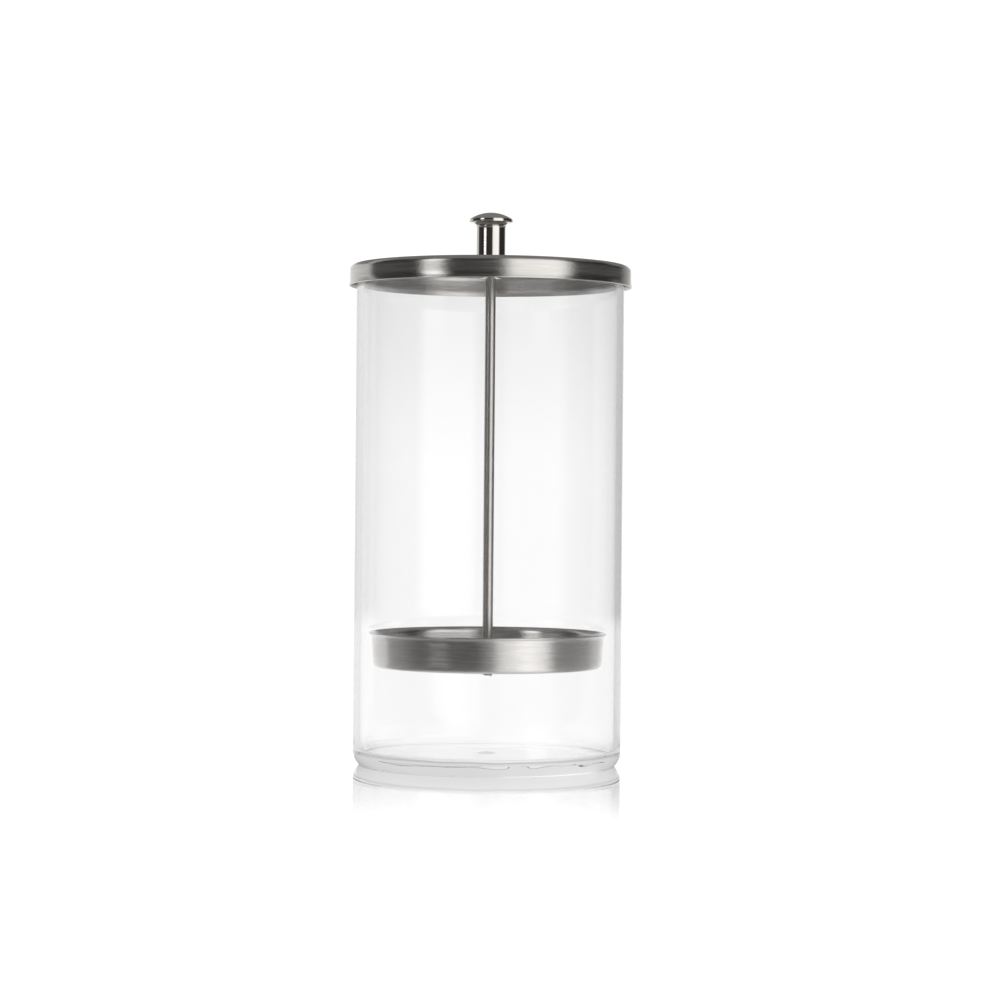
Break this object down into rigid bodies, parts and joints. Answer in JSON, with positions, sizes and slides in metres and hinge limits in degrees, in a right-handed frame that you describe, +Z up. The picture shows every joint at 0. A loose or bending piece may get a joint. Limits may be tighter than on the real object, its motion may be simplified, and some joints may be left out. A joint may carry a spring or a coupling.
{
  "type": "lidded glass jar with lift-out tray",
  "caption": "Clear straight-sided glass jar with a loose pressed steel lid; a small domed knob, a slim rod and a round shallow tray lift out together through the open top.",
  "frame": {"origin": "middle of the surface that the jar stands on, on the jar's axis", "axes": "+Z up along the axis of the jar, the rod and the knob; X and Y are level, and X is to the right in the front view"},
  "size_m": [0.106, 0.106, 0.2062],
  "materials": {
    "jar_glass": "clear, fire-polished",
    "lid_steel": "brushed round the axis",
    "tray_steel": "brushed round the axis",
    "rod_steel": "drawn, satin",
    "knob_nickel": "polished nickel plate",
    "fastener_steel": "plain bright"
  },
  "bodies": {
    "jar": {"glass_jar": "jar_glass"},
    "lid": {"lid": "lid_steel"},
    "carrier": {"knob": "knob_nickel", "rod": "rod_steel", "lid_washer": "fastener_steel", "lid_nut": "fastener_steel", "tray": "tray_steel", "tray_washer": "fastener_steel", "tray_upper_nut": "fastener_steel", "tray_lower_nut": "fastener_steel"}
  },
  "joints": [
    {"name": "lid_lift", "type": "slide", "parent": "jar", "child": "lid", "axis": [0, 0, 1], "range_m": [0, 0.165]},
    {"name": "carrier_spin", "type": "hinge", "parent": "lid", "child": "carrier", "pos_m": [0, 0, 0.1862], "axis": [0, 0, 1], "continuous": true}
  ]
}
